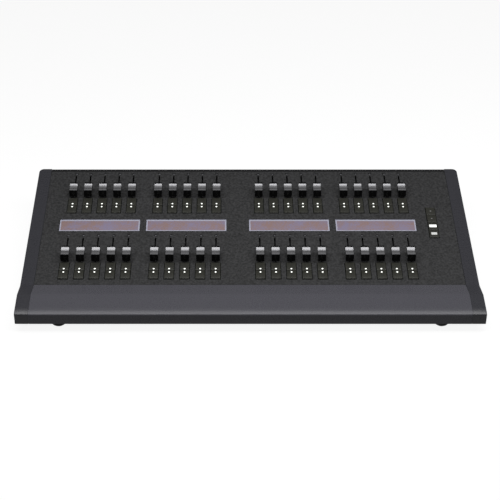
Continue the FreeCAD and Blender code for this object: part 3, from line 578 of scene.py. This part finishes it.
def soften(bm, faces, radius, segments=2):
    """Bevel the edges of these faces."""
    edges = {edge for face in faces for edge in face.edges}
    bmesh.ops.bevel(bm, geom=list(edges), offset=radius, offset_type="OFFSET",
                    segments=segments, profile=0.5, affect="EDGES", clamp_overlap=True)


def paint_new(bm, before, paint_index):
    """Give the faces made since then one of the piece's finishes."""
    for face in bm.faces:
        if face not in before:
            face.material_index = paint_index


def add_block(bm, centre, size, radius=0.0, paint_index=0, segments=2):
    """A block with rounded edges."""
    before = set(bm.faces)
    made = bmesh.ops.create_cube(bm, size=1.0)
    for vertex in made["verts"]:
        vertex.co = Vector((vertex.co.x * size[0] + centre[0],
                            vertex.co.y * size[1] + centre[1],
                            vertex.co.z * size[2] + centre[2]))
    faces = [face for face in bm.faces if face not in before]
    if radius:
        soften(bm, faces, radius, segments)
    paint_new(bm, before, paint_index)


def add_prism(bm, outline, left, right, radius=0.0, paint_index=0, segments=2):
    """Extrude an outline in Y and Z across X."""
    before = set(bm.faces)
    near = [bm.verts.new((left, y, z)) for y, z in outline]
    far = [bm.verts.new((right, y, z)) for y, z in outline]
    count = len(outline)
    faces = [bm.faces.new(near), bm.faces.new(list(reversed(far)))]
    for index in range(count):
        follower = (index + 1) % count
        faces.append(bm.faces.new((near[index], far[index], far[follower], near[follower])))
    if radius:
        ends = set(faces[0].edges) | set(faces[1].edges)
        bmesh.ops.bevel(bm, geom=list(ends), offset=radius, offset_type="OFFSET",
                        segments=segments, profile=0.5, affect="EDGES", clamp_overlap=True)
    paint_new(bm, before, paint_index)


def add_turned(bm, profile, centre, steps=32, paint_index=0):
    """Turn a profile of (radius, height) points about an upright axis."""
    before = set(bm.faces)
    rings = []
    for radius, height in profile:
        if radius < 1e-7:
            rings.append([bm.verts.new((centre[0], centre[1], centre[2] + height))])
            continue
        ring = []
        for step in range(steps):
            turn = 2 * math.pi * step / steps
            ring.append(bm.verts.new((
                centre[0] + radius * math.cos(turn), centre[1] + radius * math.sin(turn),
                centre[2] + height)))
        rings.append(ring)
    for lower, upper in zip(rings, rings[1:]):
        for step in range(steps):
            after = (step + 1) % steps
            if len(lower) == 1 and len(upper) == 1:
                continue
            if len(lower) == 1:
                bm.faces.new((lower[0], upper[after], upper[step]))
            elif len(upper) == 1:
                bm.faces.new((lower[step], lower[after], upper[0]))
            else:
                bm.faces.new((lower[step], lower[after], upper[after], upper[step]))
    paint_new(bm, before, paint_index)


def arc_points(start, end, sink, steps):
    """Points of a shallow arc between two points of equal height, its middle lower by sink."""
    half = (end[0] - start[0]) / 2
    radius = (half * half + sink * sink) / (2 * sink)
    middle = (start[0] + end[0]) / 2
    points = []
    for step in range(steps + 1):
        y = start[0] + (end[0] - start[0]) * step / steps
        depth = math.sqrt(radius * radius - (y - middle) ** 2) - (radius - sink)
        points.append((y, start[1] - depth))
    return points


def fader_place(name):
    """X and distance along the slope of a fader at rest, from its CAD box."""
    low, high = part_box(name)
    size = sizes()
    reach = size.cap_crown / 2 * math.cos(TILT) + size.cap_top * math.sin(TILT)
    along = (low.y + reach - SEAM.y) / math.cos(TILT)
    return (low.x + high.x) / 2, along


def on_slope(across, along):
    """A place on the slope, turned with it."""
    return SLOPE @ Matrix.Translation((across, along, 0))


# ------------------------------------------------------------------ pieces

class FADERDESK_OT_case(Operator):
    """Paint the case: pan, palm rest, cheeks, rear panel and faceplate"""
    bl_idname = "faderdesk.case"
    bl_label = "Case"

    def execute(self, context):
        for node, name in (
                ("base_pan", "pan_paint"), ("palm_rest", "rest_paint"),
                ("left_end_cheek", "cheek_paint"), ("right_end_cheek", "cheek_paint"),
                ("rear_panel", "rear_paint"), ("faceplate", "plate_paint"),
                ("fader_bodies", "inner_black_and_recess_shade"), ("control_boards", "board_green"),
                ("key_switches", "inner_black_and_recess_shade"), ("display_modules", "inner_black_and_recess_shade"),
                ("rear_connectors", "socket_metal")):
            dress(node, name)
        return {"FINISHED"}


def cap_outline(size, level):
    """Half the cap's length at a height over the plate."""
    lean = (size.cap_foot - size.cap_crown) / 2 / (size.cap_top - size.cap_lift)
    return size.cap_foot / 2 - (level - size.cap_lift) * lean


def fader_mesh():
    """One fader in its own directions: skirt, saddle insert, a dark strip of painted groove shade
    along the saddle's lowest line, and lever.
    """
    size = sizes()
    bm = bmesh.new()
    half = size.cap_width / 2
    top = size.cap_top
    foot = cap_outline(size, size.cap_lift)
    crown = cap_outline(size, top)
    inner = crown - size.cap_rim
    seat = top - size.insert_thick
    saddle_low = arc_points((-inner, seat), (inner, seat), size.cap_dip, CAP_STEPS)
    saddle_top = arc_points((-inner, top), (inner, top), size.cap_dip, CAP_STEPS)
    roof = seat - size.cap_dip - CAP_ROOF
    skirt = [(foot, size.cap_lift), (crown, top), (inner, top)]
    skirt += list(reversed(saddle_low))
    skirt += [(-inner, top), (-crown, top), (-foot, size.cap_lift)]
    skirt += [(-foot + CAP_WALL, size.cap_lift), (-foot + CAP_WALL * 2, roof),
              (foot - CAP_WALL * 2, roof), (foot - CAP_WALL, size.cap_lift)]
    add_prism(bm, skirt, -half, half, radius=0.00035)
    insert = [(y, z + SADDLE_FIT) for y, z in saddle_low[1:-1]]
    insert += [(y, z - SADDLE_FIT) for y, z in reversed(saddle_top[1:-1])]
    side = half - 0.0002
    add_prism(bm, insert, -side, side, radius=0.0004, paint_index=1, segments=3)
    dip = top - size.cap_dip
    # A dark strip proud of the saddle's lowest line, no groove cut: painted shade of a centre
    # groove.
    add_block(bm, (0, 0, dip - SADDLE_FIT), (2 * side, 0.0015, 0.0004), 0.0001, 2)
    floor = -PANEL_THICK - HOUSING_DEPTH
    tip = floor + LEVER_LIFT
    add_block(bm, (0, 0, (tip + roof) / 2), (*LEVER, roof - tip), 0.0002, 3)
    add_block(bm, (0, 0, floor + CARRIAGE_LIFT + CARRIAGE[2] / 2), CARRIAGE, 0.0004, 3)
    return close_mesh("fader", bm, ("cap_black", "cap_grey", "cap_groove_shade", "lever_steel"))


class FADERDESK_OT_faders(Operator):
    """Build the fader caps with their levers"""
    bl_idname = "faderdesk.faders"
    bl_label = "Faders"

    def execute(self, context):
        mesh = fader_mesh()
        for name in FADERS:
            across, along = fader_place(name)
            piece = place_piece(name + "_cap", mesh.copy(), name,
                                on_slope(across, along))
            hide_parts(name)
        bpy.data.meshes.remove(mesh)
        return {"FINISHED"}


def add_key(bm, across, along, lamp, size):
    """A key with a crowned top, its stem, and a domed light pipe at an offset along it."""
    height = size.key_proud + KEY_SKIRT
    crown = size.key_proud - LAMP_RISE
    add_block(bm, (across, along, crown - (height - LAMP_RISE) / 2),
              (size.key_width, size.key_length, height - LAMP_RISE), 0.0007, 0, 3)
    add_block(bm, (across, along, -KEY_SKIRT - 0.0014), KEY_STEM, 0.0003)
    if lamp is None:
        return
    radius = size.lamp_size / 2
    add_turned(bm, ((0, -0.0004), (radius, -0.0004), (radius, 0.00006), (radius * 0.7, 0.0002),
                    (0, LAMP_RISE)), (across, along + lamp, crown), 16, 1)


class FADERDESK_OT_keys(Operator):
    """Build the paired keys in front of the faders"""
    bl_idname = "faderdesk.keys"
    bl_label = "Paired Keys"

    def execute(self, context):
        size = sizes()
        for node, side in (("bump_keys_upper", 1), ("bump_keys_lower", -1)):
            bm = bmesh.new()
            for name in FADERS:
                across, along = fader_place(name)
                middle = along - size.key_setback + side * size.key_pitch / 2
                lamp = -side * (size.key_pitch / 2 - size.lamp_from_seam)
                add_key(bm, across, middle, lamp, size)
            piece = close_piece(node + "_caps", bm, ("key_plastic", "key_lamp"), node,
                                local=SLOPE)
            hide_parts(node)
        return {"FINISHED"}


class FADERDESK_OT_page_keys(Operator):
    """Build the column of page keys"""
    bl_idname = "faderdesk.page_keys"
    bl_label = "Page Keys"

    def execute(self, context):
        size = sizes()
        bars = {
            "page_key_3": ("bar_lit", (0.0116, 0.0062)),
            "page_key_4": ("bar_dim", (0.0092, 0.0056)),
        }
        for name in PAGE_KEYS:
            low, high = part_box(name)
            across = (low.x + high.x) / 2
            reach = size.key_length / 2 * math.cos(TILT)
            reach += (size.key_proud - 0.0008) * math.sin(TILT)
            along = (low.y + reach - SEAM.y) / math.cos(TILT)
            bm = bmesh.new()
            if name in bars:
                colour, (wide, long) = bars[name]
                add_key(bm, 0, 0, None, size)
                add_block(bm, (0, 0, size.key_proud - LAMP_RISE), (wide, long, LAMP_RISE), 0.0001, 1)
            else:
                colour = "mark_dim"
                add_key(bm, 0, 0, 0.0, size)
            piece = close_piece(name + "_cap", bm, ("key_plastic", colour), name,
                                local=on_slope(across, along))
            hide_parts(name)
        return {"FINISHED"}


class FADERDESK_OT_displays(Operator):
    """Build the strip screens with their pale borders: the windows' frames, painted pale as a
    painted sheen
    """
    bl_idname = "faderdesk.displays"
    bl_label = "Displays"

    def execute(self, context):
        size = sizes()
        low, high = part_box("display_windows")
        along = (SLOPE.inverted() @ ((low + high) / 2)).y
        columns = sorted({round(fader_place(name)[0], 5) for name in FADERS})
        banks = [columns[start:start + FADERS_PER_BANK]
                 for start in range(0, len(columns), FADERS_PER_BANK)]
        width = 2 * (sum(banks[0]) / FADERS_PER_BANK - low.x - WINDOW_LIP)
        inside = width - 2 * size.screen_side
        depth = WINDOW_LENGTH - size.screen_rear - size.screen_front
        middle = along + (size.screen_front - size.screen_rear) / 2
        bm = bmesh.new()
        for bank in banks:
            across = sum(bank) / FADERS_PER_BANK
            # The window body shows as the pale border round each screen: painted sheen.
            add_block(bm, (across, along, -(PANEL_THICK + WINDOW_SINK) / 2),
                      (width, WINDOW_LENGTH, PANEL_THICK - WINDOW_SINK), 0.0003, 1)
            add_block(bm, (across, middle, -WINDOW_SINK), (inside, depth, 0.00016), 0.00006, 0)
            add_block(bm, (across, along, -PANEL_THICK - 0.0006),
                      (width + 2 * WINDOW_LIP, WINDOW_LENGTH + 2 * WINDOW_LIP, 0.0012), 0.0001, 1)
        piece = close_piece("display_screens", bm, ("screen_face", "screen_sheen_border"), "case",
                            local=SLOPE)
        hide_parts("display_windows")
        return {"FINISHED"}


class FADERDESK_OT_screws(Operator):
    """Build the screws of the faders, the feet and the rear panel"""
    bl_idname = "faderdesk.screws"
    bl_label = "Screws"

    def execute(self, context):
        bm = bmesh.new()
        for name in FADERS:
            across, along = fader_place(name)
            start = along - FADER_REST - SCREW_OVERHANG
            for place in (start, start + SLOT_LENGTH + 2 * SCREW_OVERHANG):
                add_screw(bm, on_slope(across, place))
        for x, y in foot_places():
            add_screw(bm, Matrix.Translation((x, y, FOOT_SEAT)) @ Matrix.Rotation(math.pi, 4, "X"))
        low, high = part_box("rear_panel")
        level = low.z + REAR_SCREW_HEIGHT
        for step in (-2.5, -1.5, -0.5, 0.5, 1.5, 2.5):
            add_screw(bm, Matrix.Translation((step * REAR_SCREW_PITCH, high.y, level))
                      @ Matrix.Rotation(-math.pi / 2, 4, "X"))
        piece = close_piece("screw_set", bm, ("screw_black", "inner_black_and_recess_shade"), "case")
        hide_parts("screws")
        return {"FINISHED"}


def foot_places():
    """X and Y of the four feet's middles."""
    low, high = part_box("feet")
    return [(x, y) for x in (low.x + FOOT_RADIUS, high.x - FOOT_RADIUS)
            for y in (low.y + FOOT_RADIUS, high.y - FOOT_RADIUS)]


def add_screw(bm, place):
    """A domed pan head with a shank, standing at a place; its cross recess is not cut but drawn as a
    near-black cross set on the dome, painted shade.
    """
    before = set(bm.verts)
    add_turned(bm, ((0, 0.0013), (0.0012, 0.0012), (0.0021, 0.0009), (0.0026, 0.0004),
                    (0.0027, 0.0), (0.0015, 0.0), (0.0015, -0.0062), (0.0009, -0.0068),
                    (0, -0.0068)), (0, 0, 0), 20)
    for turn in (0, math.pi / 2):
        fresh = set(bm.verts)
        # A proud dark arm of the cross: painted shade of the recess.
        add_block(bm, (0, 0, 0.00118), (0.0026, 0.0005, 0.0004), 0.00008, 1, 1)
        arm = [vertex for vertex in bm.verts if vertex not in fresh]
        bmesh.ops.rotate(bm, verts=arm, cent=(0, 0, 0), matrix=Matrix.Rotation(turn, 3, "Z"))
    made = [vertex for vertex in bm.verts if vertex not in before]
    bmesh.ops.transform(bm, matrix=place, verts=made)


class FADERDESK_OT_feet(Operator):
    """Build the rubber feet"""
    bl_idname = "faderdesk.feet"
    bl_label = "Feet"

    def execute(self, context):
        low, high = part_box("feet")
        tall = high.z - low.z
        profile = ((0.0022, FOOT_SEAT), (0.0031, FOOT_SEAT), (0.0032, 0.0004), (0.0036, 0.0),
                   (0.0068, 0.0), (0.0090, 0.0006), (0.0108, 0.0022), (0.0119, 0.0050),
                   (0.0124, 0.0066), (0.0124, 0.0072), (0.0128, 0.0076),
                   (FOOT_RADIUS, tall - 0.0006), (FOOT_RADIUS - 0.0006, tall), (0.0022, tall),
                   (0.0022, FOOT_SEAT))
        bm = bmesh.new()
        for x, y in foot_places():
            add_turned(bm, profile, (x, y, low.z), 40)
        piece = close_piece("rubber_feet", bm, ("foot_rubber",), "case")
        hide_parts("feet")
        return {"FINISHED"}


# ------------------------------------------------------------------ stage

def floor_material():
    """Pale floor that keeps the desk's shadow and shows white to the camera."""
    material, tree, shader = blank_material("pale_floor")
    shader.inputs["Base Color"].default_value = (0.14, 0.14, 0.14, 1)
    shader.inputs["Roughness"].default_value = 0.9
    rays = tree.nodes.new("ShaderNodeLightPath")
    in_gloss = math_node(tree, "MULTIPLY", rays.outputs["Is Glossy Ray"], GLOSS_SHARE)
    seen = math_node(tree, "MAXIMUM", rays.outputs["Is Camera Ray"],
                     math_node(tree, "MAXIMUM", in_gloss, rays.outputs["Is Transmission Ray"]))
    glow = tree.nodes.new("ShaderNodeEmission")
    tree.links.new(math_node(tree, "MULTIPLY", seen, FLOOR_GLOW), glow.inputs["Strength"])
    both = tree.nodes.new("ShaderNodeAddShader")
    tree.links.new(shader.outputs[0], both.inputs[0])
    tree.links.new(glow.outputs[0], both.inputs[1])
    tree.links.new(both.outputs[0], tree.nodes["Material Output"].inputs["Surface"])
    return material


def add_softbox(target, watts):
    """A wide softbox over the desk, leaning towards a point only in depth."""
    data = bpy.data.lights.new("softbox", "AREA")
    data.shape = "RECTANGLE"
    data.size, data.size_y = SOFTBOX_SIZE
    data.energy = watts
    lamp = bpy.data.objects.new("softbox", data)
    bpy.context.scene.collection.objects.link(lamp)
    lamp.location = SOFTBOX_PLACE
    lean = math.atan2(target.y - SOFTBOX_PLACE[1], SOFTBOX_PLACE[2] - target.z)
    lamp.rotation_euler = (lean, 0, 0)


def build_world(level):
    """Even pale surroundings, white where the camera sees them."""
    world = bpy.data.worlds.new("studio")
    bpy.context.scene.world = world
    world.use_nodes = True
    tree = world.node_tree
    background = tree.nodes["Background"]
    background.inputs["Color"].default_value = (1, 1, 1, 1)
    rays = tree.nodes.new("ShaderNodeLightPath")
    seen = math_node(tree, "MAXIMUM", rays.outputs["Is Camera Ray"],
                     rays.outputs["Is Transmission Ray"])
    strength = math_node(tree, "ADD", math_node(tree, "MULTIPLY", seen, 1 - level), level)
    tree.links.new(strength, background.inputs["Strength"])


class FADERDESK_OT_stage(Operator):
    """Set the floor, the lamps and the camera"""
    bl_idname = "faderdesk.stage"
    bl_label = "Stage"

    def execute(self, context):
        scene = context.scene
        stage = scene.fader_desk_stage
        scene.view_settings.view_transform = "Standard"
        bpy.ops.mesh.primitive_plane_add(size=12, location=(0, 0, CAD_BOX[0][2]))
        floor = context.active_object
        floor.name = "floor"
        floor.data.materials.append(floor_material())
        build_world(stage.world_level)
        target = on_slope(0, stage.look_along).translation
        add_softbox(target, stage.softbox_watts)
        data = bpy.data.cameras.new("camera")
        data.lens = stage.lens
        data.sensor_width = 36.0
        data.shift_x = stage.sideways / stage.distance * stage.lens / data.sensor_width
        camera = bpy.data.objects.new("camera", data)
        scene.collection.objects.link(camera)
        camera.location = (-stage.aside,
                           target.y - stage.distance * math.cos(stage.elevation),
                           target.z + stage.distance * math.sin(stage.elevation))
        camera.rotation_euler = (math.pi / 2 - stage.elevation, 0, 0)
        scene.camera = camera
        return {"FINISHED"}


# ------------------------------------------------------------------ panel and registration

STEPS = (
    FADERDESK_OT_stage, FADERDESK_OT_case, FADERDESK_OT_faders, FADERDESK_OT_keys,
    FADERDESK_OT_page_keys, FADERDESK_OT_displays, FADERDESK_OT_screws, FADERDESK_OT_feet)


class FADERDESK_PT_sidebar(Panel):
    """Lists the desk's pieces"""
    bl_idname = "FADERDESK_PT_sidebar"
    bl_label = "Fader Desk"
    bl_space_type = "VIEW_3D"
    bl_region_type = "UI"
    bl_category = "Fader Desk"

    def draw(self, context):
        for step in STEPS:
            self.layout.operator(step.bl_idname)


CLASSES = (FaderDeskSizes, FaderDeskColours, FaderDeskStage, *STEPS, FADERDESK_PT_sidebar)


def register():
    for item in CLASSES:
        bpy.utils.register_class(item)
    bpy.types.Scene.fader_desk_sizes = PointerProperty(type=FaderDeskSizes)
    bpy.types.Scene.fader_desk_colours = PointerProperty(type=FaderDeskColours)
    bpy.types.Scene.fader_desk_stage = PointerProperty(type=FaderDeskStage)


def unregister():
    del bpy.types.Scene.fader_desk_stage
    del bpy.types.Scene.fader_desk_colours
    del bpy.types.Scene.fader_desk_sizes
    for item in reversed(CLASSES):
        bpy.utils.unregister_class(item)


def main():
    register()
    for step in STEPS:
        group, name = step.bl_idname.split(".")
        getattr(getattr(bpy.ops, group), name)()


if __name__ == "__main__":
    main()
